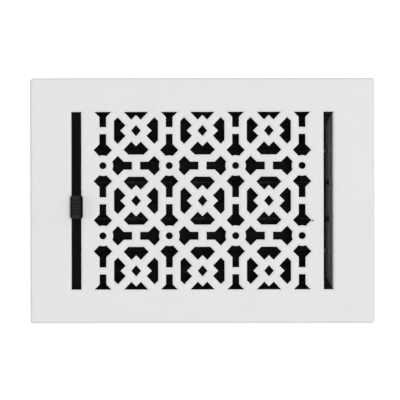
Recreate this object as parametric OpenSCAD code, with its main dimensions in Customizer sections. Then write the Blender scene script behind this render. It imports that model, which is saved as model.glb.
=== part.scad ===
// Vent register: a pierced lattice face over a two-blade damper box, worked by a
// thumb knob in its left slot. +Z points out of the face, +X runs along the face,
// and z = 0 is the bottom edge of the box. The blades are drawn closed.

/* [Face] */
// Length of the face over its rim
plate_l = 349; // [345:1:380]
// Width of the face over its rim
plate_w = 248.7; // [244:0.1:270]
// Height from the bottom edge of the box to the front of the face
total_h = 55; // [52:1:75]
// Sheet thickness of the face
face_t = 1.2; // [0.8:0.1:1.6]
// Depth of the rim that is bent down round the face
rim_h = 6; // [4.5:0.5:10]
// Outer radius of the rim's bend and of the face's corners
bend_r = 3; // [2:0.25:4]

/* [Lattice] */
// Distance between the centres of two octagons along the face
pitch_x = 67.2; // [66:0.1:70]
// Distance between the centres of two octagons across the face
pitch_y = 71; // [70:0.1:74]
// Half length of the space inside an octagon
oct_in_x = 22.3; // [21.5:0.1:23]
// Half width of the space inside an octagon
oct_in_y = 24.3; // [23.5:0.1:25]
// Half diagonal reach of the space inside an octagon
oct_in_d = 32.1; // [31:0.1:33]
// Width of the octagon straps that run across the face
strap_x = 7.9; // [7:0.1:8.2]
// Width of the octagon straps that run along the face
strap_y = 7.2; // [6.8:0.1:7.8]
// Width of the octagons' corner straps
strap_d = 8.4; // [7.5:0.1:9]
// Width of the diagonal straps between rings and diamonds
cross_w = 8.2; // [7.5:0.1:9]
// Half diagonals of the small diamonds
diamond_r = 15.8; // [15:0.1:17]
// Half length of the hole in a diamond
diamond_hole_x = 4.9; // [4:0.1:5.5]
// Half width of the hole in a diamond
diamond_hole_y = 5.75; // [4.5:0.1:6.5]
// Outer radius of the rings
ring_r = 10.4; // [9.5:0.1:11]
// Radius of the hole in a ring
ring_hole_r = 3.55; // [3:0.05:4.5]
// Width of the short bars that tie the octagons along the face
tie_x = 7; // [6:0.1:9]
// Width of the short bars that tie the octagons across the face
tie_y = 8.2; // [6:0.1:9]
// Plain strip kept between the lattice and each end slot
lattice_margin = 12; // [8:1:14]

/* [End slots] */
// Width of the slot at each end of the face
slot_w = 10; // [9:0.5:12]
// How far a slot reaches past the inside of its end panel
slot_overrun = 0.6; // [0:0.1:1]
// Strip of face between the end of a slot and the inside of a side panel
slot_end_strip = 1.1; // [1:0.1:4]

/* [Box] */
// Reach of the face past the outside of an end panel
lap_x = 41.6; // [35:0.1:42]
// Reach of the face past the outside of a side panel
lap_y = 32.45; // [25:0.05:33]
// Sheet thickness of the box
panel_t = 0.9; // [0.6:0.1:1.2]
// How far a side panel leans in over its height
side_lean = 7; // [4:0.5:8]
// Width of the flanges that are welded under the face
flange_w = 10; // [6:0.5:14]
// Inner radius of the bends in the sheet
sheet_bend = 1; // [0.8:0.1:1.5]
// Radius of the end panels' bottom corners
corner_r = 8; // [4:0.5:10]
// Length of the end panels' side tabs
tab_l = 14; // [10:0.5:16]
// Height at which the side tabs start
tab_low = 12; // [9:0.5:16]
// Height at which the side tabs end
tab_high = 46; // [44:0.5:48]
// Distance between the two rivets of a corner
rivet_pitch = 14; // [10:0.5:16]
// Radius of the corner rivets
rivet_r = 1.6; // [1:0.1:2]
// Radius of a rivet's head
rivet_head_r = 2.8; // [2.4:0.1:3.5]
// Height of a rivet's head
rivet_head_h = 1; // [0.6:0.1:1.4]

/* [Louvers] */
// Depth of the louvers' pivots below the front of the face
pivot_drop = 35; // [33:0.5:38]
// Distance of each louver's pivot from the middle
pivot_y = 19; // [18:0.5:23]
// Sheet thickness of the louvers
louver_t = 0.8; // [0.6:0.1:1]
// Gap between the blades of the two louvers when closed
louver_gap = 1; // [0.8:0.1:2]
// Reach of the front louver's stepped edge over the rear louver
louver_lap = 4; // [2:0.5:6]
// Gap between a louver's edge and the side panel when closed
edge_gap = 2.6; // [2.2:0.1:4]
// Gap between a louver and the right end panel
end_gap = 3; // [2.5:0.1:4]
// Space for the crank and the slide between a louver and the left end panel
drive_gap = 10.5; // [9.5:0.1:12]
// Depth of the lip along a louver's inner edge
lip_h = 3; // [2:0.5:4]
// Width of the hem folded under a louver's outer edge
hem_w = 5; // [3:0.5:8]
// Distance of the stiffening bead from the pivot
bead_y = 41; // [35:0.5:46]
// Width of the stiffening bead
bead_w = 15; // [10:0.5:18]
// Height of the stiffening bead
bead_h = 1.5; // [0.8:0.1:2]
// Plain end of a louver before its bead
bead_end = 12; // [8:1:25]
// Number of loops that hold the rod
loop_count = 4; // [2:1:6]
// Width of a loop
loop_w = 8; // [5:0.5:12]

/* [Pivots] */
// Radius of the pivot rods
rod_r = 2; // [1.5:0.1:2.4]
// Reach of a rod past the outside of an end panel
rod_reach = 3.2; // [2.8:0.1:5]
// Outer radius of a bush in its panel
bush_r = 3; // [2.7:0.1:3.5]
// Radius of a bush's flange
bush_flange_r = 4; // [3.8:0.1:4.6]
// Thickness of a bush's flange
bush_flange_t = 1; // [0.6:0.1:1.4]
// Reach of a bush past the outside of its panel
bush_tail = 1; // [0.6:0.1:1.2]
// Radius of the push-on clips
clip_r = 5; // [4.2:0.1:6]
// Thickness of the push-on clips
clip_t = 0.6; // [0.4:0.1:0.8]
// Angle that the louvers turn between closed and open
swing = 90; // [80:1:90]

/* [Drive] */
// Distance from a pivot to its crank pin
crank_r = 9; // [8.5:0.1:9.5]
// Thickness of the cranks
crank_t = 1.5; // [1:0.1:2]
// Radius of a crank's hub
crank_hub_r = 5; // [4:0.1:6]
// Radius of a crank's outer end
crank_tip_r = 3.2; // [2.6:0.1:3.6]
// Radius of the crank pins
pin_r = 1.5; // [1.2:0.1:1.7]
// Thickness of the slide
slide_t = 1.2; // [1:0.1:1.5]
// Metal left round the slots of the slide
slide_land = 3; // [2:0.1:3.4]
// Width of the slide's arm
arm_w = 8; // [6:0.5:9]
// Reach of the arm into the knob
arm_reach = 5; // [3:0.5:6]
// Width of the arm's shoulders, which carry the cover strip
shoulder_w = 14; // [12:0.5:20]
// Height of the arm's shoulders
shoulder_h = 4; // [3:0.5:5]
// Width of the cover strip under the left slot
cover_w = 8; // [7:0.1:8.2]
// Thickness of the cover strip
cover_t = 1.2; // [0.8:0.1:1.5]
// How far the cover strip still reaches past the slot at the end of its travel
cover_over = 1; // [0.5:0.5:4]
// Thickness of the leaf spring
spring_t = 0.5; // [0.3:0.1:0.6]
// Length of the leaf spring's foot on the arm
spring_foot = 9; // [8:0.5:11]
// Reach of the leaf spring out from the arm
spring_reach = 10.5; // [9:0.5:12]

/* [Knob] */
// Length of the knob's base along its slot
knob_l = 24.2; // [22:0.1:26]
// Width of the knob's base
knob_w = 12.5; // [12.2:0.1:14]
// Height of the knob above the face
knob_h = 8.4; // [7.5:0.1:10]
// Thickness of the knob's base
knob_base_t = 2; // [1.5:0.1:2.5]
// Corner radius of the knob's base
knob_corner = 3.3; // [2:0.1:4]
// Width of the top of the knob's grip
grip_w = 8.2; // [7.5:0.1:9]
// Length of the top of the knob's grip
grip_l = 22.2; // [20:0.1:23]
// How far the grip widens from its top to its foot, on each side
grip_flare = 0.9; // [0.5:0.1:1]
// Width of the rim on each side of the grip's ridges
grip_rim = 0.9; // [0.6:0.1:1.2]
// Number of grooves across the grip
groove_count = 5; // [3:1:5]
// Distance between two grooves
groove_pitch = 3.35; // [3:0.05:3.8]
// Radius of the grooves
groove_r = 1.25; // [0.8:0.05:1.4]
// How far the knob sits inboard of its slot's middle
knob_shift = 0.5; // [0:0.1:1]

/* [Clearances] */
// Radial clearance of a rod in its bush and of the slide on the rods
run_fit = 0.05; // [0.02:0.01:0.1]
// Radial clearance of pieces that are pressed or riveted together
seat_fit = 0.02; // [0.01:0.01:0.05]
// Clearance between moving pieces that don't touch
free_gap = 0.35; // [0.3:0.05:0.5]
// Clearance of a crank pin in its yoke, on each side
yoke_gap = 0.4; // [0.35:0.05:0.5]

/* [Hidden] */
$fn = 48;

paint_white = [0.9, 0.9, 0.89];
paint_black = [0.09, 0.09, 0.09];
coat_grey = [0.4, 0.4, 0.41];
bare_steel = [0.62, 0.62, 0.63];
knob_black = [0.05, 0.05, 0.05];
nylon = [0.14, 0.14, 0.14];

// Overlap that joins two forms of one piece, or lets a cut run clear
eps = 0.01;
cut = 1;

// Box: inner half sizes at the top, and the height under the face
under_z = total_h - face_t;
box_x = plate_l / 2 - lap_x - panel_t;
box_y = plate_w / 2 - lap_y - panel_t;
lean_angle = atan(side_lean / under_z);

// Half width between the side panels at a height
function wall_y(z) = box_y - side_lean * (1 - z / under_z);

// End slots and the window that the lattice fills
slot_x = box_x + slot_overrun - slot_w / 2;
slot_l = 2 * (box_y - slot_end_strip);
window_x = slot_x - slot_w / 2;
cols = floor(2 * (window_x - lattice_margin) / pitch_x);
rows = 2 * ceil(slot_l / pitch_y / 2) + 1;

// Louvers
pivot_z = total_h - pivot_drop;
louver_x0 = -box_x + drive_gap;
louver_x1 = box_x - end_gap;
louver_l = louver_x1 - louver_x0;
inner_reach = pivot_y - louver_gap / 2;
outer_reach = wall_y(pivot_z) - edge_gap - pivot_y;
trough_r = rod_r + run_fit;
loop_step = louver_l / loop_count;

// Pivots, clips and drive
rod_half = box_x + panel_t + rod_reach;
clip_x = box_x + panel_t + bush_tail + free_gap;
slide_x = -slot_x - slide_t / 2;
crank_x = louver_x0 - free_gap - 1 - crank_t;
pin_end_x = slide_x - yoke_gap - slide_t / 2;
half_swing = swing / 2;
throw = crank_r * sin(half_swing);
pin_low = crank_r * cos(half_swing);
front_pin_angle = 270 - half_swing;
rear_pin_angle = 90 + half_swing;
yoke_r = pin_r + yoke_gap;
guide_r = rod_r + run_fit;
slide_half = pivot_y + throw + guide_r + slide_land;
slide_high = crank_r + yoke_r + slide_land;
knob_x = -slot_x + knob_shift;
knob_z = total_h + free_gap;
knob_top = total_h + knob_h;
spring_z = under_z - free_gap;
cover_top = under_z - free_gap;
cover_z = cover_top - cover_t;
cover_half = slot_l / 2 + throw + cover_over;
rivet_low = (tab_low + tab_high - rivet_pitch) / 2 + 7;
rivet_x = box_x - tab_l / 2;
stop_y = pivot_y + bead_y - bead_w / 2;
stop_w = 5;
ledge_x = box_x - tab_l - 1;
ledge_z = pivot_z + free_gap;
ledge_w = edge_gap + 2;

// Layout helpers

// Extrudes a section drawn in Y and Z along X
module along_x(x0, length) {
    translate([x0, 0, 0])
        rotate([90, 0, 90])
            linear_extrude(length)
                children();
}

// Extrudes a section drawn in X and Z along Y
module along_y(y0, length) {
    translate([0, y0 + length, 0])
        rotate([90, 0, 0])
            linear_extrude(length)
                children();
}

// A cylinder whose axis runs along X
module rod_x(x0, length, r) {
    translate([x0, 0, 0])
        rotate([0, 90, 0])
            cylinder(h = length, r = r);
}

// Draws a rear or left piece and its twin on the other side
module both_y() {
    children();
    mirror([0, 1, 0])
        children();
}

module both_x() {
    children();
    mirror([1, 0, 0])
        children();
}

function unit(v) = v / norm(v);
function right_of(v) = [v[1], -v[0]];

// The arc that rounds corner b between points a and c
function corner_arc(a, b, c, r, steps = 5) =
    let (
        u = unit(a - b),
        v = unit(c - b),
        half = acos(u * v) / 2,
        centre = b + unit(u + v) * r / sin(half),
        start = b + u * r / tan(half) - centre,
        end = b + v * r / tan(half) - centre,
        turn = atan2(start[0] * end[1] - start[1] * end[0], start * end),
        from = atan2(start[1], start[0])
    )
    [for (k = [0:steps]) centre + r * [cos(from + turn * k / steps), sin(from + turn * k / steps)]];

// A path whose inner corners are rounded, by one radius or by one for each corner
function bent(path, r) = [
    path[0],
    for (i = [1:len(path) - 2])
        each corner_arc(path[i - 1], path[i], path[i + 1], is_list(r) ? r[i - 1] : r),
    path[len(path) - 1]
];

// The direction in which a sheet on the right of its path has its thickness
function sheet_side(path, i) =
    let (
        last = len(path) - 1,
        before = right_of(unit(path[max(i, 1)] - path[max(i, 1) - 1])),
        after = right_of(unit(path[min(i, last - 1) + 1] - path[min(i, last - 1)]))
    )
    (before + after) / (1 + before * after);

// Section of a bent sheet that lies on the right of its path
module sheet(path, t) {
    polygon(concat(
        path,
        [for (i = [len(path) - 1:-1:0]) path[i] + t * sheet_side(path, i)]
    ));
}

// A slot with round ends between two points
module round_slot(a, b, r) {
    along = unit(b - a) * r;
    across = right_of(along);
    for (p = [a, b])
        translate(p)
            circle(r);
    polygon([a + across, b + across, b - across, a - across]);
}

module rounded_rect(size, r) {
    square([size[0], size[1] - 2 * r], center = true);
    square([size[0] - 2 * r, size[1]], center = true);
    for (x = [-1, 1], y = [-1, 1])
        translate([x * (size[0] / 2 - r), y * (size[1] / 2 - r)])
            circle(r);
}

// Face

module octagon(x, y, d) {
    polygon([
        [x, d - x], [d - y, y], [y - d, y], [-x, d - x],
        [-x, x - d], [y - d, -y], [d - y, -y], [x, x - d]
    ]);
}

module octagon_outer() {
    octagon(oct_in_x + strap_x, oct_in_y + strap_y, oct_in_d + strap_d * sqrt(2));
}

// The straps that cross in a unit and meet the rings at its corners
module lattice_cross() {
    reach = [pitch_x, pitch_y] / 2;
    side = right_of(unit(reach)) * cross_w / 2;
    for (flip = [0, 1])
        mirror([flip, 0])
            polygon([-reach + side, reach + side, reach - side, -reach - side]);
}

module diamond(x, y) {
    polygon([[x, 0], [0, y], [-x, 0], [0, -y]]);
}

// What is open inside one octagon
module octagon_holes() {
    difference() {
        octagon(oct_in_x, oct_in_y, oct_in_d);
        lattice_cross();
        diamond(diamond_r, diamond_r);
    }
    diamond(diamond_hole_x, diamond_hole_y);
}

// What is open round one ring, between the four octagons that meet there
module ring_holes(left_open, right_open) {
    reach = [pitch_x, pitch_y] / 2;
    difference() {
        square([pitch_x, pitch_y], center = true);
        for (x = [-1, 1], y = [-1, 1])
            translate([x * reach[0], y * reach[1]])
                octagon_outer();
        lattice_cross();
        circle(ring_r);
        for (y = [-1, 1])
            translate([0, y * reach[1]])
                square([pitch_x, tie_x], center = true);
        for (x = [-1, 1])
            translate([x * reach[0], 0])
                square([tie_y, pitch_y], center = true);
        if (!left_open)
            polygon([[0, 0], [-reach[0], reach[1]], [-reach[0], -reach[1]]]);
        if (!right_open)
            polygon([[0, 0], [reach[0], reach[1]], [reach[0], -reach[1]]]);
    }
    circle(ring_hole_r);
}

// Every opening of the lattice, cut off straight at the height of the end slots
module lattice_holes() {
    intersection() {
        square([2 * window_x, slot_l], center = true);
        union() {
            for (i = [0:cols - 1], j = [0:rows - 1])
                translate([(i - (cols - 1) / 2) * pitch_x, (j - (rows - 1) / 2) * pitch_y])
                    octagon_holes();
            for (i = [0:cols], j = [0:rows])
                translate([(i - cols / 2) * pitch_x, (j - rows / 2) * pitch_y])
                    ring_holes(i > 0, i < cols);
        }
    }
}

// Section of the rim, from the middle of its bend outwards and down
module rim_section() {
    difference() {
        union() {
            intersection() {
                circle(bend_r);
                square(bend_r);
            }
            translate([bend_r - face_t, bend_r - rim_h])
                square([face_t, rim_h - bend_r]);
        }
        circle(bend_r - face_t);
    }
}

module faceplate() {
    flat_l = plate_l - 2 * bend_r;
    flat_w = plate_w - 2 * bend_r;
    color(paint_white)
        union() {
            translate([0, 0, under_z])
                linear_extrude(face_t)
                    difference() {
                        square([flat_l, flat_w], center = true);
                        lattice_holes();
                        for (side = [-1, 1])
                            translate([side * slot_x, 0])
                                square([slot_w, slot_l], center = true);
                    }
            translate([0, 0, total_h - bend_r]) {
                both_y()
                    translate([0, flat_w / 2, 0])
                        along_x(-flat_l / 2, flat_l)
                            rim_section();
                both_x()
                    translate([flat_l / 2, 0, 0])
                        along_y(-flat_w / 2, flat_w)
                            rim_section();
                both_x()
                    both_y()
                        translate([flat_l / 2, flat_w / 2, 0])
                            rotate_extrude(angle = 90)
                                rim_section();
            }
        }
}

// Box

// Puts its children on each corner rivet's axis, from the inside of the side panel out
module at_rivets(side_x, side_y) {
    for (z = [rivet_low, rivet_low + rivet_pitch])
        translate([side_x * rivet_x, side_y * wall_y(z), z])
            rotate([-side_y * (90 + lean_angle), 0, 0])
                children();
}

module rivet_holes(side_x, side_y) {
    at_rivets(side_x, side_y)
        translate([0, 0, -panel_t - cut])
            cylinder(h = 2 * (panel_t + cut), r = rivet_r + seat_fit);
}

// Opening at the top corners of a side panel, through which the cover strip slides
module cover_notch() {
    x0 = slot_x - cover_w / 2 - free_gap;
    translate([x0, box_y - side_lean, cover_z - free_gap])
        cube([box_x + panel_t + cut - x0, side_lean + panel_t + flange_w + cut, cover_t + 2 * free_gap + cut]);
}

// Side panel on the rear side: a leaning wall with a flange under the face, and a
// pressed-in ledge that the edge of the closed louver comes up against
module side_panel() {
    bend = sheet_bend + panel_t;
    crease = panel_t + 0.1;
    foot = [wall_y(-cut), -cut];
    flange = [[wall_y(under_z), under_z], [box_y + flange_w, under_z]];
    ledge = [
        [wall_y(ledge_z), ledge_z],
        [wall_y(ledge_z) - ledge_w, ledge_z],
        [wall_y(ledge_z + ledge_w), ledge_z + ledge_w]
    ];
    plain_wall = bent(concat([foot], flange), bend);
    ledge_wall = bent(concat([foot], ledge, flange), [crease, crease, crease, bend]);
    difference() {
        union() {
            along_x(-ledge_x, 2 * ledge_x)
                sheet(ledge_wall, panel_t);
            both_x()
                along_x(ledge_x, box_x + panel_t - ledge_x)
                    sheet(plain_wall, panel_t);
        }
        translate([-plate_l / 2, 0, -2 * cut])
            cube([plate_l, plate_w, 2 * cut]);
        for (side = [-1, 1])
            rivet_holes(side, 1);
        both_x()
            cover_notch();
    }
}

module side_panel_rear() {
    color(paint_black)
        side_panel();
}

module side_panel_front() {
    color(paint_black)
        mirror([0, 1, 0])
            side_panel();
}

// Outline of an end panel's plate: it narrows downwards and has round bottom corners
module end_outline() {
    top = under_z - sheet_bend - panel_t;
    edge = wall_y(top) - seat_fit;
    foot = wall_y(0) - seat_fit;
    polygon(bent([[-edge, top], [-foot, 0], [foot, 0], [edge, top]], corner_r));
}

// End panel on the right side, with its bushes' holes, side tabs and top flange
module end_panel() {
    low = under_z - sheet_bend - panel_t - eps;
    flange = [[box_x, low], [box_x, under_z], [box_x + flange_w, under_z]];
    side_tab = [
        [wall_y(tab_high) - seat_fit, tab_high],
        [wall_y(tab_low) - seat_fit, tab_low]
    ];
    difference() {
        union() {
            along_x(box_x, panel_t)
                end_outline();
            along_y(-wall_y(low), 2 * wall_y(low))
                sheet(bent(flange, sheet_bend + panel_t), panel_t);
            both_y()
                along_x(box_x - tab_l, tab_l + panel_t)
                    sheet(side_tab, panel_t);
        }
        both_y()
            rivet_holes(1, 1);
        both_y()
            translate([0, pivot_y, pivot_z])
                rod_x(box_x - cut, panel_t + 2 * cut, bush_r + seat_fit);
    }
}

// A tab lanced out of the right end panel, over the end of a closed louver
module louver_stop() {
    translate([box_x - end_gap - 2, stop_y - stop_w / 2, pivot_z + free_gap])
        cube([end_gap + 2 + panel_t, stop_w, panel_t]);
}

// The window that a lanced tab leaves above it
module stop_window() {
    translate([box_x - cut, stop_y - stop_w / 2, pivot_z + free_gap + panel_t])
        cube([panel_t + 2 * cut, stop_w, end_gap + 2]);
}

module end_panel_right() {
    color(coat_grey)
        union() {
            difference() {
                end_panel();
                both_y()
                    stop_window();
            }
            both_y()
                louver_stop();
        }
}

module end_panel_left() {
    color(coat_grey)
        mirror([1, 0, 0])
            end_panel();
}

// Pop rivets that hold the side panels to the end panels' tabs
module corner_rivets() {
    color(bare_steel)
        for (x = [-1, 1], y = [-1, 1])
            at_rivets(x, y) {
                translate([0, 0, -panel_t - seat_fit])
                    cylinder(h = 2 * panel_t + seat_fit, r = rivet_r);
                translate([0, 0, panel_t])
                    rotate_extrude()
                        intersection() {
                            translate([0, rivet_head_h - rivet_head_r * 2])
                                circle(rivet_head_r * 2);
                            square([rivet_head_r, rivet_head_h]);
                        }
                translate([0, 0, -panel_t - seat_fit - rivet_head_h])
                    cylinder(h = rivet_head_h, r = rivet_r + 0.6);
            }
}

// Louvers

// The raised stiffening bead, drawn on the sheet's surface
module bead_form(lift) {
    side = bead_w / 2;
    crown = side - 2 * bead_h;
    x0 = louver_x0 + bead_end + side;
    x1 = louver_x1 - bead_end - side;
    half = [[0, -louver_t], [side, -louver_t], [side, 0], [crown, bead_h], [0, bead_h]];
    mirrored = [for (p = half) [-p[0], p[1]]];
    translate([0, bead_y, lift]) {
        along_x(x0, x1 - x0) {
            polygon(half);
            polygon(mirrored);
        }
        for (x = [x0, x1])
            translate([x, 0, 0])
                rotate_extrude()
                    polygon(half);
    }
}

// Section of a louver about its pivot: blade, trough for the rod, and hem. The inner
// edge has a lip turned down, or a step up that laps over the other louver
module louver_section(laps) {
    edge = outer_reach - louver_t;
    step_z = louver_t + free_gap;
    lip = [[-inner_reach, -lip_h], [-inner_reach, 0]];
    step = [
        [-inner_reach - louver_gap - louver_lap, step_z],
        [-inner_reach + 1, step_z],
        [-inner_reach + 1 + 2 * step_z, 0]
    ];
    blade = concat(laps ? step : lip, [[edge, 0]]);
    difference() {
        union() {
            sheet(bent(blade, louver_t + 0.4), louver_t);
            intersection() {
                circle(trough_r + louver_t);
                translate([-2 * trough_r, -4 * trough_r])
                    square(4 * trough_r);
            }
            translate([edge - hem_w, -2 * louver_t])
                square([hem_w, louver_t + eps]);
            translate([edge, -louver_t])
                circle(louver_t);
        }
        circle(trough_r);
    }
}

// Half ring of a loop over the rod
module loop_section() {
    difference() {
        intersection() {
            circle(trough_r + louver_t);
            translate([-2 * trough_r, -eps])
                square(4 * trough_r);
        }
        circle(trough_r);
    }
}

// Louver about its own pivot, with its long side towards +Y
module louver(laps) {
    difference() {
        union() {
            along_x(louver_x0, louver_l)
                louver_section(laps);
            bead_form(0);
        }
        bead_form(-louver_t);
    }
    for (i = [0:loop_count - 1])
        along_x(louver_x0 + (i + 0.5) * loop_step - loop_w / 2, loop_w)
            loop_section();
}

module louver_rear() {
    color(paint_black)
        translate([0, pivot_y, pivot_z])
            louver(false);
}

module louver_front() {
    color(paint_black)
        translate([0, -pivot_y, pivot_z])
            mirror([0, 1, 0])
                louver(true);
}

// Pivots

module pivot_rod(side) {
    color(bare_steel)
        translate([0, side * pivot_y, pivot_z])
            rod_x(-rod_half, 2 * rod_half, rod_r);
}

// Flanged bush in an end panel
module bush(side_x, side_y) {
    color(nylon)
        translate([0, side_y * pivot_y, pivot_z])
            mirror([side_x < 0 ? 1 : 0, 0, 0])
                difference() {
                    union() {
                        rod_x(box_x - bush_flange_t, bush_flange_t, bush_flange_r);
                        rod_x(box_x - eps, panel_t + bush_tail + eps, bush_r);
                    }
                    rod_x(box_x - cut - bush_flange_t, rod_half, rod_r + run_fit);
                }
}

// Push-on clips at both ends of a rod
module rod_clips(side) {
    color(bare_steel)
        translate([0, side * pivot_y, pivot_z])
            both_x()
                difference() {
                    rod_x(clip_x, clip_t, clip_r);
                    rod_x(clip_x - cut, clip_t + 2 * cut, rod_r + seat_fit);
                }
}

// Drive

// Crank on the left end of a rod; its pin stands at the given angle from +Y
module crank(side, angle) {
    taper = 0.9;
    color(paint_black)
        translate([crank_x, side * pivot_y, pivot_z])
            rotate([angle, 0, 0])
                difference() {
                    union() {
                        rod_x(0, crank_t, crank_hub_r);
                        translate([0, crank_r, 0])
                            rod_x(0, crank_t, crank_tip_r);
                        along_x(0, crank_t)
                            polygon([
                                [0, crank_hub_r * taper], [crank_r, crank_tip_r * taper],
                                [crank_r, -crank_tip_r * taper], [0, -crank_hub_r * taper]
                            ]);
                    }
                    rod_x(-cut, crank_t + 2 * cut, rod_r + seat_fit);
                    translate([0, crank_r, 0])
                        rod_x(-cut, crank_t + 2 * cut, pin_r + seat_fit);
                }
}

module crank_pin(side, angle) {
    color(bare_steel)
        translate([0, side * pivot_y, pivot_z])
            rotate([angle, 0, 0])
                translate([0, crank_r, 0])
                    rod_x(pin_end_x, crank_x + crank_t - pin_end_x, pin_r);
}

// Outline of the slide about the middle of its travel
module slide_outline() {
    difference() {
        union() {
            translate([0, pivot_z])
                rounded_rect([2 * slide_half, 2 * slide_high], slide_land);
            translate([-arm_w / 2, pivot_z])
                square([arm_w, knob_z + arm_reach - pivot_z]);
            translate([-shoulder_w / 2, cover_z - shoulder_h])
                square([shoulder_w, shoulder_h]);
        }
        for (side = [-1, 1])
            translate([side * pivot_y, pivot_z]) {
                round_slot([-throw - run_fit, 0], [throw + run_fit, 0], guide_r);
                round_slot([0, side * (pin_low - run_fit)], [0, side * (crank_r + run_fit)], yoke_r);
            }
        translate([0, spring_rivet_z()])
            circle(pin_r + seat_fit);
    }
}

function spring_foot_z() = pivot_z + slide_high + 1;
function spring_rivet_z() = spring_foot_z() + spring_foot / 2 - 1;

// Slide with two guide slots on the rods, two yokes on the crank pins, and the arm
module damper_slide() {
    color(paint_black)
        translate([0, -throw, 0])
            along_x(slide_x, slide_t)
                slide_outline();
}

// Strip that closes the left slot from below. It sits on the arm's shoulders
module slot_cover() {
    color(paint_black)
        translate([-slot_x, -throw, cover_z])
            linear_extrude(cover_t)
                difference() {
                    square([cover_w, 2 * cover_half], center = true);
                    square([slide_t + 2 * seat_fit, arm_w + 2 * seat_fit], center = true);
                }
}

// Leaf spring that rubs under the face and holds the slide where it is put
module leaf_spring() {
    x0 = slide_x + slide_t;
    tip = [x0 + spring_reach, spring_z];
    leaf = [
        [x0, spring_foot_z()],
        [x0, spring_foot_z() + spring_foot],
        tip,
        tip + [2.5, -2]
    ];
    color(bare_steel)
        translate([0, -throw, 0])
            difference() {
                along_y(-arm_w / 2, arm_w)
                    sheet(bent(leaf, 1.2), spring_t);
                translate([0, 0, spring_rivet_z()])
                    rod_x(x0 - cut, 2 * cut + spring_t, pin_r + seat_fit);
            }
}

module spring_rivet() {
    x0 = slide_x;
    x1 = slide_x + slide_t + spring_t;
    color(bare_steel)
        translate([0, -throw, spring_rivet_z()]) {
            rod_x(x0 - rivet_head_h, x1 - x0 + 2 * rivet_head_h, pin_r);
            rod_x(x0 - rivet_head_h, rivet_head_h, rivet_head_r);
            rod_x(x1, rivet_head_h, rivet_r + 0.6);
        }
}

// Knob

// Upper part of the knob, which narrows to its ridged top
module grip() {
    low = knob_z + knob_base_t;
    flare = grip_flare;
    intersection() {
        along_y(-knob_l, 2 * knob_l)
            polygon([
                [-grip_w / 2 - flare, low - eps], [-grip_w / 2, knob_top],
                [grip_w / 2, knob_top], [grip_w / 2 + flare, low - eps]
            ]);
        along_x(-knob_w, 2 * knob_w)
            polygon([
                [-grip_l / 2 - flare, low - eps], [-grip_l / 2, knob_top],
                [grip_l / 2, knob_top], [grip_l / 2 + flare, low - eps]
            ]);
    }
}

module thumb_knob() {
    neck_w = slot_w - 2 * free_gap;
    ridge_w = grip_w - 2 * grip_rim;
    sunk = groove_r * 0.35;
    color(knob_black)
        translate([0, -throw, 0])
            difference() {
                union() {
                    translate([knob_x, 0, 0])
                        grip();
                    translate([knob_x, 0, knob_z])
                        linear_extrude(knob_base_t)
                            rounded_rect([knob_w, knob_l], knob_corner);
                    translate([-slot_x, 0, cover_top])
                        linear_extrude(knob_z - cover_top + eps)
                            rounded_rect([neck_w, knob_l - 2 * neck_w + arm_w], 1);
                }
                for (i = [0:groove_count - 1])
                    translate([0, (i - (groove_count - 1) / 2) * groove_pitch, knob_top + sunk])
                        rod_x(knob_x - ridge_w / 2, ridge_w, groove_r);
                translate([-slot_x, 0, cover_top - cut])
                    linear_extrude(knob_z + arm_reach - cover_top + cut + seat_fit)
                        square([slide_t + 2 * seat_fit, arm_w + 2 * seat_fit], center = true);
            }
}

faceplate();
side_panel_front();
side_panel_rear();
end_panel_left();
end_panel_right();
corner_rivets();
louver_front();
louver_rear();
pivot_rod(-1);  // pivot_rod_front
pivot_rod(1);  // pivot_rod_rear
bush(-1, -1);  // bush_front_left
bush(1, -1);  // bush_front_right
bush(-1, 1);  // bush_rear_left
bush(1, 1);  // bush_rear_right
rod_clips(-1);  // rod_clips_front
rod_clips(1);  // rod_clips_rear
crank(-1, front_pin_angle);  // crank_front
crank(1, rear_pin_angle);  // crank_rear
crank_pin(-1, front_pin_angle);  // crank_pin_front
crank_pin(1, rear_pin_angle);  // crank_pin_rear
damper_slide();
slot_cover();
thumb_knob();
leaf_spring();
spring_rivet();
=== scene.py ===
import cmath
import math

import bmesh
import bpy
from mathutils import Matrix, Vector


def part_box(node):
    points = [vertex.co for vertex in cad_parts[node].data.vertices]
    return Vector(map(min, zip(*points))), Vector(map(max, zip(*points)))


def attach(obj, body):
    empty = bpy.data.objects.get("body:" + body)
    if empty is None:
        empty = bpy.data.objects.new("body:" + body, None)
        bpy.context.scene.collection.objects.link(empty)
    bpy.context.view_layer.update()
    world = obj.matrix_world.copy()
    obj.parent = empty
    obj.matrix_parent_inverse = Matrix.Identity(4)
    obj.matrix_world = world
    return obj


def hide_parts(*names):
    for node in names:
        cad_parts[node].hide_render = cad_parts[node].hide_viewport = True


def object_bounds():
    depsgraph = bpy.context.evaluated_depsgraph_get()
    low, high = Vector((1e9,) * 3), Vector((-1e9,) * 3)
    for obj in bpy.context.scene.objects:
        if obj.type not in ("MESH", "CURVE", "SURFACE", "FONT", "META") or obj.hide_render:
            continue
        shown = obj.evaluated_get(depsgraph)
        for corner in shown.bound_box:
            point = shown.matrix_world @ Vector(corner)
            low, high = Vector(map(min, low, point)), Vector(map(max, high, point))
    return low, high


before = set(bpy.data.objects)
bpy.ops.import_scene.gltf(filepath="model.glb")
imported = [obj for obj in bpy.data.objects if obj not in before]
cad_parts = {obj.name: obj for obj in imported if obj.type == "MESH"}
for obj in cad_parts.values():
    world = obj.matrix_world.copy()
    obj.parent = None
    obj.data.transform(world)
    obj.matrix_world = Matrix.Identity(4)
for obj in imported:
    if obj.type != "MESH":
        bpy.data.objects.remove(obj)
cad_low, cad_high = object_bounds()

MM = 0.001
WHITE = (1, 1, 1, 1)
EVEN = (1, 1, 1)

# Values that noise mostly keeps to
NOISE_SPAN = (0.3, 0.7)

_, face_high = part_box("faceplate")
_, side_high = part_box("side_panel_rear")
FACE_Z = face_high.z

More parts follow.
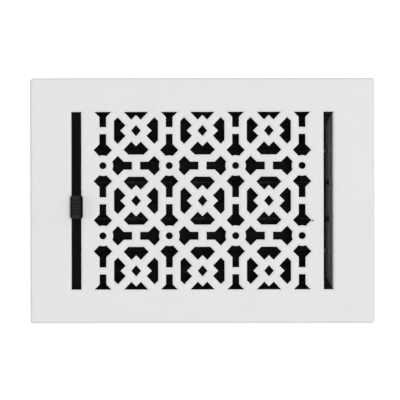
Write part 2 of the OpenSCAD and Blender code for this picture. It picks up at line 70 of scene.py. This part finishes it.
# Box: half its length between the end panels, half its width between the side panels at z = 0, and
# how far these lean out per unit of height
BOX_HALF_X = 132.0 * MM
BOX_HALF_Y = 84.0 * MM
SIDE_LEAN = 0.13

# Camera: its distance straight above the face, its place off the middle, its roll, the width that it
# sees at the height of the face, and its sensor in millimetres
CAMERA_ABOVE_FACE = 0.950
CAMERA_X = -2.5 * MM
CAMERA_Y = 0.65 * MM
CAMERA_ROLL = math.radians(-0.09)
VIEW_WIDTH = 404.4 * MM
SENSOR = 36.0

# Light: the world's strength on the object and as it is seen, the lamps' distance, and for each lamp
# its angle in degrees, its size and its share of the light on the face
WORLD_STRENGTH = 0.34
WORLD_SEEN = 1.0
LAMP_DISTANCE = 12.0
LAMPS = {
    "key": {"angle": 25.0, "size": 3.4, "share": 0.335},
    "top": {"angle": 7.0, "size": 3.0, "share": 0.27},
    "left": {"angle": -58.0, "size": 3.4, "share": 0.05},
}

# Floor, just under the part: its white, its shade and glow as they are seen, the painted shadow
# between the box's walls, and the glow that glossy surfaces see under the box and a rim round it
FLOOR_HALF = 6.0
FLOOR_DROP = 0.1 * MM
FLOOR_WHITE = 0.7
FLOOR_SEEN_DIFFUSE = 0.4
FLOOR_SEEN_GLOW = 0.84
FLOOR_PAINTED_SHADOW = 0.01
FLOOR_PAINTED_SHADOW_SOFT = 1 * MM
GLOW_UNDER_BOX = 0.2
GLOW_RIM = 8 * MM

# Edge of the face's sheet where it rolls over into an opening: width, steepest tilt, radius, depth,
# steps, and the most that the way out turns between two columns at an inner corner
ROLL_W = 3.0 * MM
ROLL_TILT = math.radians(33)
ROLL_R = ROLL_W / math.sin(ROLL_TILT)
ROLL_H = ROLL_R * (1 - math.cos(ROLL_TILT))
ROLL_STEPS = 5
ROLL_TURN = math.radians(20)

# Meshes: vertices this close are one, faces this near the top lie in it, and edges sharper than
# these angles stay sharp on the face and are rounded on other pieces
SAME_SPOT = 0.002 * MM
TOP_SLACK = 0.01 * MM
SHARP_ANGLE = math.radians(35)
ROUNDED_ANGLE = math.radians(50)

# Rounded edges of the other pieces
KNOB_ROUND = 0.35 * MM
KNOB_SEGMENTS = 3
SHEET_ROUND = 0.15 * MM
SHEET_SEGMENTS = 2
SHEET_NODES = (
    "side_panel_front", "side_panel_rear", "louver_front", "louver_rear",
    "end_panel_left", "end_panel_right", "damper_slide",
)

# Scuff in the face's paint: middle, radius, soft edge, how far each axis is drawn out, how ragged the
# edge is and in what grain, and the depth of its dent
SCUFF_AT = (110.9 * MM, -20.3 * MM, FACE_Z)
SCUFF_R = 0.7 * MM
SCUFF_SOFT = 0.6 * MM
SCUFF_STRETCH = (1.9, 1.0, 1.0)
SCUFF_RAGGED = 0.3 * MM
SCUFF_GRAIN = 0.9 * MM
SCUFF_DENT = 0.03 * MM

# Spot welds along the side panels' flanges: distance between two, distance of the row from the
# flange's edge, radius, soft edge and depth
WELD_PITCH = 38 * MM
WELD_INSET = 5 * MM
WELD_R = 2.4 * MM
WELD_SOFT = 0.6 * MM
WELD_DENT = 0.25 * MM

# End panels: heights between which the painted light on the right panel's inside gets stronger and how
# ragged its edge is, height of the top edge, part of the sheet's thickness that counts as its inside,
# how far a stop stands off the panel, width of the painted shade at the ends, and soft edges
PAINTED_LIGHT_LOW_Z = FACE_Z - 46 * MM
PAINTED_LIGHT_HIGH_Z = FACE_Z - 4 * MM
PAINTED_LIGHT_RAGGED = 3 * MM
TOP_EDGE_Z = FACE_Z - 3.5 * MM
TOP_EDGE_SOFT = 0.5 * MM
SKIN = 0.3 * MM
STOP_OFF_PANEL = 0.4 * MM
SHADED_END = 2.0 * MM
SHADED_END_SOFT = 0.8 * MM

# Corner rivets: how far inside the side panels the painted shade on their heads starts, and its soft edges
HEAD_SHADE_START = 4 * MM
HEAD_SHADE_SOFT = 1 * MM
HEAD_SHADE_END = 0.3 * MM

# Drive: distance from the height of the rods over which the rubbed band fades
RUB_NEAR = 2.6 * MM
RUB_FAR = 4.5 * MM

# Knob: depth below its top where the polish starts and where it is full, and half width of the grip
POLISH_LOW = 1.4 * MM
POLISH_HIGH = 0.05 * MM
GRIP_HALF = 3.5 * MM
GRIP_SOFT = 0.4 * MM


# Shader nodes. Every pattern is laid out in the object's own coordinates.


def add(tree, kind, inputs=None, **settings):
    """A shader node with its settings, and with inputs that are values or other nodes' sockets."""
    made = tree.nodes.new("ShaderNode" + kind)
    for key, value in settings.items():
        setattr(made, key, value)
    for key, value in (inputs or {}).items():
        fill(tree, made.inputs[key], value)
    return made


def fill(tree, socket, value):
    """Gives a socket a value, or links it where that is another node's socket."""
    if isinstance(value, bpy.types.NodeSocket):
        tree.links.new(value, socket)
    else:
        socket.default_value = value


def calc(tree, operation, *values):
    """What a Math node makes of values or sockets."""
    return add(tree, "Math", dict(enumerate(values)), operation=operation).outputs[0]


def vector_calc(tree, operation, *values):
    """What a Vector Math node makes of vectors or sockets."""
    return add(tree, "VectorMath", dict(enumerate(values)), operation=operation).outputs[0]


def length_of(tree, vector):
    """The length of a vector socket."""
    return add(tree, "VectorMath", {0: vector}, operation="LENGTH").outputs["Value"]


def remap(tree, value, low, high, to_low=0.0, to_high=1.0):
    """A value between two limits, drawn out to go from one result to another."""
    return add(tree, "MapRange", {"Value": value, "From Min": low, "From Max": high,
                                  "To Min": to_low, "To Max": to_high}).outputs[0]


def between(tree, fac, first, second):
    """The value between two, where the factor goes from 0 to 1."""
    return remap(tree, fac, 0.0, 1.0, first, second)


def rise(tree, value, start, soft):
    """0 up to a start, rising to 1 over a soft edge."""
    return remap(tree, value, start, start + soft)


def fall(tree, value, start, soft):
    """1 up to a start, falling to 0 over a soft edge."""
    return remap(tree, value, start, start + soft, 1.0, 0.0)


def place(tree):
    """The point that is shaded, in the object's own coordinates."""
    return add(tree, "TexCoord").outputs["Object"]


def axes_of(tree):
    """The place along X, Y and Z, by these names."""
    return add(tree, "SeparateXYZ", {0: place(tree)}).outputs


def off_middle(tree, value, low, high):
    """How far a value is from the middle between two."""
    return calc(tree, "ABSOLUTE", calc(tree, "SUBTRACT", value, (low + high) / 2))


def across_box(tree):
    """Distance from the middle of the box towards its side panels, with their lean taken off."""
    axes = axes_of(tree)
    lean = calc(tree, "MULTIPLY", axes["Z"], SIDE_LEAN)
    return calc(tree, "SUBTRACT", calc(tree, "ABSOLUTE", axes["Y"]), lean)


def noise(tree, size, detail=3.0, stretch=EVEN):
    """Noise from 0 to 1 with features of about that size, drawn out along an axis by its stretch."""
    scale = [1 / (size * s) for s in stretch]
    spot = add(tree, "Mapping", {"Vector": place(tree), "Scale": scale}).outputs[0]
    return add(tree, "TexNoise", {"Vector": spot, "Scale": 1.0, "Detail": detail}).outputs["Fac"]


def spread(tree, size, detail=3.0, stretch=EVEN, span=NOISE_SPAN, to=(0.0, 1.0)):
    """Noise whose span is drawn out to go from one result to another."""
    return remap(tree, noise(tree, size, detail, stretch), *span, *to)


def worn(tree, size, span, stretch=EVEN, strength=1.0):
    """Sparse marks up to that strength, where noise rises through a span."""
    return spread(tree, size, detail=6.0, stretch=stretch, span=span, to=(0.0, strength))


def grey(level, warm=0.0):
    """A grey of that level, from black at 0 to white at 1. It is warmer by a small share, or cooler where
    that is negative."""
    return (level * (1 + warm), level, level * (1 - warm), 1)


def mix_colour(tree, fac, first, second):
    """The colour between two, which are colours or sockets."""
    made = tree.nodes.new("ShaderNodeMix")
    made.data_type = "RGBA"
    for index, value in ((0, fac), (6, first), (7, second)):
        fill(tree, made.inputs[index], value)
    return made.outputs[2]


def bump(tree, pattern, depth, under=None):
    """Raises a pattern by a depth in metres, or presses it in where that is negative, over another
    bump if one is given."""
    inputs = {"Height": pattern, "Distance": depth, "Strength": 1.0}
    if under is not None:
        inputs["Normal"] = under
    return add(tree, "Bump", inputs).outputs[0]


def principled(name, roughness, specular=0.5, metallic=0.0):
    """A new material, its node tree and its shader."""
    made = bpy.data.materials.new(name)
    made.use_nodes = True
    shader = made.node_tree.nodes["Principled BSDF"]
    shader.inputs["Roughness"].default_value = roughness
    shader.inputs["Specular IOR Level"].default_value = specular
    shader.inputs["Metallic"].default_value = metallic
    return made, made.node_tree, shader


def finish_with(shader, colour=None, roughness=None, normal=None):
    """Links what is given to the shader."""
    tree = shader.id_data
    for key, value in (("Base Color", colour), ("Roughness", roughness), ("Normal", normal)):
        if value is not None:
            tree.links.new(value, shader.inputs[key])


# Camera, light and floor


def add_object(name, data):
    """A new object in the scene."""
    made = bpy.data.objects.new(name, data)
    bpy.context.scene.collection.objects.link(made)
    return made


def make_camera():
    """The camera that looks straight down at the face, as in the photograph."""
    data = bpy.data.cameras.new("camera")
    data.sensor_width = SENSOR
    data.lens = SENSOR * CAMERA_ABOVE_FACE / VIEW_WIDTH
    made = add_object("camera", data)
    made.location = (CAMERA_X, CAMERA_Y, FACE_Z + CAMERA_ABOVE_FACE)
    made.rotation_euler = (0, 0, CAMERA_ROLL)
    bpy.context.scene.camera = made


def softbox(name, angle, size, share):
    """A square lamp over the face, tilted towards +X by an angle in degrees from straight up. It gives
    the flat face that share of the light at which a colour renders as it is written."""
    tilt = math.radians(angle)
    data = bpy.data.lights.new(name, "AREA")
    data.size = size
    data.energy = share * math.pi**2 * LAMP_DISTANCE**2 / math.cos(tilt)
    made = add_object(name, data)
    made.location = (math.sin(tilt) * LAMP_DISTANCE, 0, FACE_Z + math.cos(tilt) * LAMP_DISTANCE)
    made.rotation_euler = (0, tilt, 0)


def seen_ray(tree):
    """1 for rays from the camera and for those that glossy or clear surfaces send on, or else 0."""
    path = add(tree, "LightPath").outputs
    gloss = calc(tree, "MAXIMUM", path["Is Camera Ray"], path["Is Glossy Ray"])
    return calc(tree, "MAXIMUM", gloss, path["Is Transmission Ray"])


def make_world():
    """White all round, seen brighter than it lights the object."""
    world = bpy.data.worlds.new("studio")
    bpy.context.scene.world = world
    world.use_nodes = True
    tree = world.node_tree
    tree.nodes.clear()
    strength = between(tree, seen_ray(tree), WORLD_STRENGTH, WORLD_SEEN)
    light = add(tree, "Background", {"Color": WHITE, "Strength": strength})
    add(tree, "OutputWorld", {"Surface": light.outputs[0]})


def past_box(tree, half_x, half_y, soft):
    """0 on the floor within half a length and half a width of the middle, rising to 1 over a soft edge."""
    axes = axes_of(tree)
    past_x = calc(tree, "SUBTRACT", calc(tree, "ABSOLUTE", axes["X"]), half_x)
    past_y = calc(tree, "SUBTRACT", calc(tree, "ABSOLUTE", axes["Y"]), half_y)
    return rise(tree, calc(tree, "MAXIMUM", past_x, past_y), 0.0, soft)


def floor_glow(tree):
    """Strength of the floor's glow. It is full outside the face, and under it fades as a painted shadow,
    to nothing for the camera, or to little for glossy surfaces, up to a rim round the box."""
    rim_x = side_high.x + GLOW_RIM
    rim_y = side_high.y + GLOW_RIM
    # Painted shadow: the glow fades under the face towards the box.
    glow_past_painted_shadow = past_box(tree, rim_x, rim_y, face_high.y - rim_y)
    camera = add(tree, "LightPath").outputs["Is Camera Ray"]
    under = between(tree, camera, GLOW_UNDER_BOX, 0.0)
    return calc(tree, "MULTIPLY", calc(tree, "MAXIMUM", glow_past_painted_shadow, under), FLOOR_SEEN_GLOW)


def floor_material():
    """White floor. What is seen of it is a greyer shade that glows, near black as painted shadow between
    the box's walls.
    """
    made = bpy.data.materials.new("floor_white")
    made.use_nodes = True
    tree = made.node_tree
    tree.nodes.clear()
    bounce = add(tree, "BsdfDiffuse", {"Color": grey(FLOOR_WHITE)}).outputs[0]
    # Painted shadow: the seen shade is near black between the box's walls.
    past_painted_shadow = past_box(tree, BOX_HALF_X, BOX_HALF_Y, FLOOR_PAINTED_SHADOW_SOFT)
    shade = between(tree, past_painted_shadow, FLOOR_PAINTED_SHADOW, FLOOR_SEEN_DIFFUSE)
    shaded = add(tree, "BsdfDiffuse", {"Color": shade}).outputs[0]
    glow = add(tree, "Emission", {"Color": WHITE, "Strength": floor_glow(tree)}).outputs[0]
    seen = add(tree, "AddShader", {0: shaded, 1: glow}).outputs[0]
    mixed = add(tree, "MixShader", {0: seen_ray(tree), 1: bounce, 2: seen}).outputs[0]
    add(tree, "OutputMaterial", {"Surface": mixed})
    return made


def make_floor():
    """A wide square floor just under the part."""
    mesh = bpy.data.meshes.new("floor")
    z = cad_low.z - FLOOR_DROP
    corners = [(x * FLOOR_HALF, y * FLOOR_HALF, z) for x, y in ((-1, -1), (1, -1), (1, 1), (-1, 1))]
    mesh.from_pydata(corners, [], [(0, 1, 2, 3)])
    mesh.materials.append(floor_material())
    made = add_object("floor", mesh)


# Materials


def scuff_spot(tree):
    """1 on the scuff, with a soft edge that noise makes ragged."""
    away = vector_calc(tree, "SUBTRACT", place(tree), SCUFF_AT)
    away = vector_calc(tree, "DIVIDE", away, SCUFF_STRETCH)
    ragged = spread(tree, size=SCUFF_GRAIN, to=(-SCUFF_RAGGED, SCUFF_RAGGED))
    return fall(tree, calc(tree, "ADD", length_of(tree, away), ragged), SCUFF_R, SCUFF_SOFT)


def face_paint():
    """White powder coat: faint mottling and orange peel, with one dark scuff."""
    made, tree, shader = principled("face_paint", roughness=0.55, specular=0.2)
    greyer, whiter, fleck = grey(0.775, 0.002), grey(0.795, 0.001), grey(0.76)
    black_rub, grey_rub = grey(0.14), grey(0.3)
    coat = mix_colour(tree, spread(tree, size=45 * MM, detail=4.0), greyer, whiter)
    coat = mix_colour(tree, spread(tree, size=2.2 * MM, detail=2.0, to=(0.0, 0.35)), coat, fleck)
    rubbed = mix_colour(tree, spread(tree, size=0.6 * MM, span=(0.35, 0.65)), black_rub, grey_rub)
    scuff = scuff_spot(tree)
    peel = bump(tree, noise(tree, size=1.6 * MM, detail=2.0), depth=0.02 * MM)
    dent = bump(tree, scuff, -SCUFF_DENT, under=peel)
    rough = spread(tree, size=12 * MM, to=(0.5, 0.6))
    finish_with(shader, mix_colour(tree, scuff, coat, rubbed), rough, dent)
    return made


def black_enamel(name, level, roughness, specular):
    """Thin black enamel on sheet steel, with light dust and a few rubbed streaks. It gives the material,
    its tree and shader, and the coat's colour and bump."""
    made, tree, shader = principled(name, roughness, specular)
    darker, paler = grey(level * 0.8), grey(level * 1.2, 0.01)
    dusty, rubbed = grey(level * 3.0, 0.05), grey(level * 4.0, 0.02)
    coat = mix_colour(tree, spread(tree, size=30 * MM, detail=4.0), darker, paler)
    dust = worn(tree, size=1.4 * MM, span=(0.58, 0.75), strength=0.3)
    coat = mix_colour(tree, dust, coat, dusty)
    streaks = worn(tree, size=3 * MM, span=(0.66, 0.8), stretch=(12, 1, 1), strength=0.25)
    coat = mix_colour(tree, streaks, coat, rubbed)
    skin = bump(tree, noise(tree, size=1.2 * MM, detail=2.0), depth=0.015 * MM)
    rough = spread(tree, size=8 * MM, to=(roughness - 0.06, roughness + 0.08))
    finish_with(shader, coat, rough, skin)
    return made, tree, shader, coat, skin


def weld_spots(tree):
    """1 on the spot welds along the side panels' flanges, which lie at an even pitch along X."""
    axes = axes_of(tree)
    along = calc(tree, "SUBTRACT", calc(tree, "PINGPONG", axes["X"], WELD_PITCH), WELD_PITCH / 2)
    across = calc(tree, "SUBTRACT", calc(tree, "ABSOLUTE", axes["Y"]), side_high.y - WELD_INSET)
    away = add(tree, "CombineXYZ", {"X": along, "Y": across}).outputs[0]
    return fall(tree, length_of(tree, away), WELD_R, WELD_SOFT)


def box_paint():
    """Black enamel on the side panels, with dented and paler spot welds."""
    made, tree, shader, coat, skin = black_enamel("box_paint", level=0.01, roughness=0.5, specular=0.12)
    spot = weld_spots(tree)
    colour = mix_colour(tree, between(tree, spot, 0.0, 0.5), coat, grey(0.05, 0.08))
    finish_with(shader, colour, normal=bump(tree, spot, -WELD_DENT, under=skin))
    return made


def painted_light_on_panel(tree, axes, right, at_top):
    """Share of painted light on the right panel's inside and top edge, stronger higher up."""
    ragged = spread(tree, size=18 * MM, detail=5.0, stretch=(1, 2, 1), span=(0.35, 0.65),
                    to=(-PAINTED_LIGHT_RAGGED, PAINTED_LIGHT_RAGGED))
    height = calc(tree, "ADD", axes["Z"], ragged)
    painted_light = remap(tree, height, PAINTED_LIGHT_LOW_Z, PAINTED_LIGHT_HIGH_Z, to_low=0.5)
    inside = fall(tree, axes["X"], BOX_HALF_X + SKIN, SKIN)
    painted_lit = calc(tree, "MULTIPLY", calc(tree, "MAXIMUM", inside, at_top), right)
    return calc(tree, "MULTIPLY", painted_light, painted_lit)


def end_coating():
    """Dull grey coat. Inside, the right panel is painted paler as painted light from the slot above it,
    stronger towards the slot. Its stops are dark. The ends beside the side panels and the top edge of
    the left panel are dark as painted shade."""
    made, tree, shader = principled("end_coating", roughness=0.5, specular=0.3)
    duller, paler, painted_lit = grey(0.12), grey(0.16, 0.01), grey(0.78)
    stop_grey, painted_shade_grey = grey(0.03), grey(0.008)
    axes = axes_of(tree)
    right = rise(tree, axes["X"], -1 * MM, 2 * MM)
    at_top = rise(tree, axes["Z"], TOP_EDGE_Z, TOP_EDGE_SOFT)
    coat = mix_colour(tree, spread(tree, size=1.1 * MM), duller, paler)
    # Painted light: the right panel's inside and top edge are paler, more so near the slot.
    coat = mix_colour(tree, painted_light_on_panel(tree, axes, right, at_top), coat, painted_lit)
    stop = calc(tree, "MULTIPLY", fall(tree, axes["X"], BOX_HALF_X - STOP_OFF_PANEL, SKIN), right)
    coat = mix_colour(tree, stop, coat, stop_grey)
    # Painted shade: the ends beside the side panels and the left panel's top edge are near black.
    ends = rise(tree, across_box(tree), BOX_HALF_Y - SHADED_END, SHADED_END_SOFT)
    dark = calc(tree, "MAXIMUM", ends, calc(tree, "SUBTRACT", at_top, right))
    coat = mix_colour(tree, dark, coat, painted_shade_grey)
    rough = spread(tree, size=5 * MM, to=(0.42, 0.58))
    finish_with(shader, coat, rough, bump(tree, noise(tree, size=0.8 * MM), depth=0.01 * MM))
    return made


def louver_paint():
    """Black enamel on the louvers."""
    return black_enamel("louver_paint", level=0.004, roughness=0.6, specular=0.06)[0]


def drive_paint():
    """Black coat on the slide, its cover and the cranks, rubbed grey at the height of the rods."""
    made, tree, shader, coat, _ = black_enamel("drive_paint", level=0.0022, roughness=0.55, specular=0.03)
    rod_low, rod_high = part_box("pivot_rod_front")
    off = off_middle(tree, axes_of(tree)["Z"], rod_low.z, rod_high.z)
    band = remap(tree, off, RUB_NEAR, RUB_FAR, to_low=0.5, to_high=0.0)
    marks = worn(tree, size=2 * MM, span=(0.42, 0.6), stretch=(1, 4, 1))
    rubbed = calc(tree, "MULTIPLY", band, marks)
    finish_with(shader, mix_colour(tree, rubbed, coat, grey(0.09, 0.01)))
    return made


def knob_plastic():
    """Matt black moulded plastic with a fine grain, paler where thumbs polish the ridged top."""
    made, tree, shader = principled("knob_plastic", roughness=0.55, specular=0.04)
    matt, polished = grey(0.005), grey(0.027, 0.01)
    low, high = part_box("thumb_knob")
    axes = axes_of(tree)
    top = remap(tree, axes["Z"], high.z - POLISH_LOW, high.z - POLISH_HIGH, to_low=0.25)
    grip = fall(tree, off_middle(tree, axes["X"], low.x, high.x), GRIP_HALF, GRIP_SOFT)
    mottle = spread(tree, size=1.5 * MM, detail=4.0, to=(0.7, 1.0))
    polish = calc(tree, "MULTIPLY", calc(tree, "MULTIPLY", top, grip), mottle)
    rough = between(tree, polish, 0.6, 0.48)
    grain = bump(tree, noise(tree, size=0.35 * MM, detail=2.0), depth=0.02 * MM)
    finish_with(shader, mix_colour(tree, polish, matt, polished), rough, grain)
    return made


def bush_nylon():
    """Black moulded nylon with a fine grain."""
    made, tree, shader = principled("bush_nylon", roughness=0.42, specular=0.4)
    colour = mix_colour(tree, noise(tree, size=2 * MM), grey(0.012), grey(0.02))
    rough = spread(tree, size=1.2 * MM, to=(0.36, 0.5))
    finish_with(shader, colour, rough, bump(tree, noise(tree, size=0.4 * MM), depth=0.006 * MM))
    return made


def drawn_steel(name, darker, paler, roughness, size, stretch=EVEN, warm=0.0, metallic=0.9):
    """Metal between two grey levels, with fine marks drawn out along its stretch and a few stains. It
    gives the material, its tree and shader, and its colour."""
    made, tree, shader = principled(name, roughness, specular=0.5 * metallic, metallic=metallic)
    stained = grey(darker * 0.7, warm + 0.02)
    grain = spread(tree, size, detail=5.0, stretch=stretch)
    colour = mix_colour(tree, grain, grey(darker, warm), grey(paler, warm))
    stain = spread(tree, size=9 * MM, detail=4.0, span=(0.45, 0.75), to=(0.0, 0.5))
    colour = mix_colour(tree, stain, colour, stained)
    rough = between(tree, grain, roughness - 0.08, roughness + 0.1)
    finish_with(shader, colour, rough, bump(tree, grain, depth=0.006 * MM))
    return made, tree, shader, colour


def rod_steel():
    """Blackened steel, drawn along X."""
    return drawn_steel("rod_steel", darker=0.009, paler=0.018, roughness=0.55, size=0.5 * MM,
                       stretch=(30, 1, 1), metallic=0.3)[0]


def spring_steel():
    """Bare steel strip, rolled along Y."""
    return drawn_steel("spring_steel", darker=0.10, paler=0.17, roughness=0.35, size=0.4 * MM,
                       stretch=(1, 20, 1), warm=-0.03)[0]


def fastener_steel():
    """Zinc-plated steel. The corner rivets' inner heads are black, as painted shade in the box's corners.
    """
    made, tree, shader, colour = drawn_steel("fastener_steel", darker=0.16, paler=0.28, roughness=0.42,
                                             size=0.6 * MM, warm=0.02)
    across = across_box(tree)
    # Painted shade: the inner heads of the corner rivets are near black.
    past_start = rise(tree, across, BOX_HALF_Y - HEAD_SHADE_START, HEAD_SHADE_SOFT)
    past_end = rise(tree, across, BOX_HALF_Y, HEAD_SHADE_END)
    painted = calc(tree, "SUBTRACT", past_start, past_end)
    finish_with(shader, mix_colour(tree, painted, colour, grey(0.006)))
    return made


MATERIALS = {
    "face_paint": face_paint(),
    "box_paint": box_paint(),
    "end_coating": end_coating(),
    "louver_paint": louver_paint(),
    "drive_paint": drive_paint(),
    "knob_plastic": knob_plastic(),
    "bush_nylon": bush_nylon(),
    "rod_steel": rod_steel(),
    "spring_steel": spring_steel(),
    "fastener_steel": fastener_steel(),
}


# Face with rolled edges. A spot on the face is held as a complex number, x + y i.


def spot_of(vert):
    """The spot of a vertex on the face."""
    return complex(vert.co.x, vert.co.y)


def open_top(form):
    """Takes the flat top off a mesh, and gives the closed rows of vertices that it leaves. Seen from
    above, a row runs counter-clockwise round an opening and clockwise round the whole top."""
    flat = [face for face in form.faces if min(v.co.z for v in face.verts) > FACE_Z - TOP_SLACK]
    bmesh.ops.delete(form, geom=flat, context="FACES")
    follow = {}
    for edge in form.edges:
        if edge.is_boundary:
            loop = edge.link_loops[0]
            follow[loop.vert] = loop.link_loop_next.vert
    rows = []
    while follow:
        row = [next(iter(follow))]
        while row[-1] in follow:
            row.append(follow.pop(row[-1]))
        rows.append(row[:-1])
    return rows


def is_opening(row):
    """Whether a row runs counter-clockwise, by the area that it encloses."""
    spots = [spot_of(vert) for vert in row]
    return sum((spots[i - 1].conjugate() * spots[i]).imag for i in range(len(spots))) > 0


def ways_out(before, here, after):
    """Directions from a corner of an opening into the sheet: a fan of them where the opening has an
    inner corner, and elsewhere one, long enough to keep the edges on both sides parallel."""
    into = (here - before) / abs(here - before)
    away = (after - here) / abs(after - here)
    turn = cmath.phase(away / into)
    if turn < ROLL_TURN:
        return [-1j * (into + away) / (1 + (into * away.conjugate()).real)]
    fan = math.ceil(turn / ROLL_TURN)
    return [-1j * into * cmath.rect(1, turn * k / fan) for k in range(fan + 1)]


def roll_column(form, foot, way):
    """Vertices from the wall of an opening, up an arc, to the flat top."""
    column = [foot]
    for step in range(1, ROLL_STEPS + 1):
        tilt = ROLL_TILT * (1 - step / ROLL_STEPS)
        spot = spot_of(foot) + way * (ROLL_W - ROLL_R * math.sin(tilt))
        column.append(form.verts.new((spot.real, spot.imag, FACE_Z - ROLL_R * (1 - math.cos(tilt)))))
    return column


def roll_over(form, row):
    """Rolls the sheet over along its edge round one opening."""
    spots = [spot_of(vert) for vert in row]
    columns = []
    for i, foot in enumerate(row):
        foot.co.z = FACE_Z - ROLL_H
        for way in ways_out(spots[i - 1], spots[i], spots[(i + 1) % len(spots)]):
            columns.append(roll_column(form, foot, way))
    for here, other in zip(columns, columns[1:] + columns[:1]):
        for k in range(ROLL_STEPS):
            corners = [other[k], here[k], here[k + 1], other[k + 1]]
            form.faces.new(list(dict.fromkeys(corners)))


def mesh_of(form, name):
    """A smooth-shaded mesh of a form, with its sharp edges kept sharp."""
    form.verts.index_update()
    mesh = bpy.data.meshes.new(name)
    corners = [[vert.index for vert in face.verts] for face in form.faces]
    mesh.from_pydata([vert.co for vert in form.verts], [], corners)
    mesh.shade_smooth()
    mesh.set_sharp_from_angle(angle=SHARP_ANGLE)
    return mesh


def make_face():
    """A copy of the CAD face with the sheet rolled over round its openings, in place of that node."""
    form = bmesh.new()
    form.from_mesh(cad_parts["faceplate"].data)
    bmesh.ops.remove_doubles(form, verts=form.verts, dist=SAME_SPOT)
    for row in open_top(form):
        if is_opening(row):
            roll_over(form, row)
    rims = [edge for edge in form.edges if edge.is_boundary]
    bmesh.ops.triangle_fill(form, use_beauty=True, edges=rims)
    bmesh.ops.recalc_face_normals(form, faces=form.faces)
    made = add_object("face_sheet", mesh_of(form, "face_sheet"))
    form.free()
    made.data.materials.append(MATERIALS["face_paint"])
    made.modifiers.new("even_normals", "WEIGHTED_NORMAL").keep_sharp = True
    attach(made, "frame")
    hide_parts("faceplate")


# The other pieces keep their CAD meshes, and modifiers round the edges of some


def round_edges(name, width, segments):
    """Rounds the sharp edges of a CAD node by modifiers."""
    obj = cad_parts[name]
    obj.modifiers.new("weld", "WELD").merge_threshold = SAME_SPOT
    made = obj.modifiers.new("round_edges", "BEVEL")
    made.width = width
    made.segments = segments
    made.limit_method = "ANGLE"
    made.angle_limit = ROUNDED_ANGLE
    made.miter_outer = "MITER_ARC"
    made.harden_normals = True


def dress_nodes():
    """Gives every CAD node the material of its slot, and rounds the edges of the sheets and the knob."""
    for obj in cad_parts.values():
        for holder in obj.material_slots:
            holder.material = MATERIALS[holder.material.name.split(".")[0]]
    for name in SHEET_NODES:
        round_edges(name, SHEET_ROUND, SHEET_SEGMENTS)
    round_edges("thumb_knob", KNOB_ROUND, KNOB_SEGMENTS)


make_camera()
bpy.context.scene.view_settings.view_transform = "Standard"
make_world()
for lamp_name, lamp in LAMPS.items():
    softbox(lamp_name, **lamp)
make_floor()
dress_nodes()
make_face()
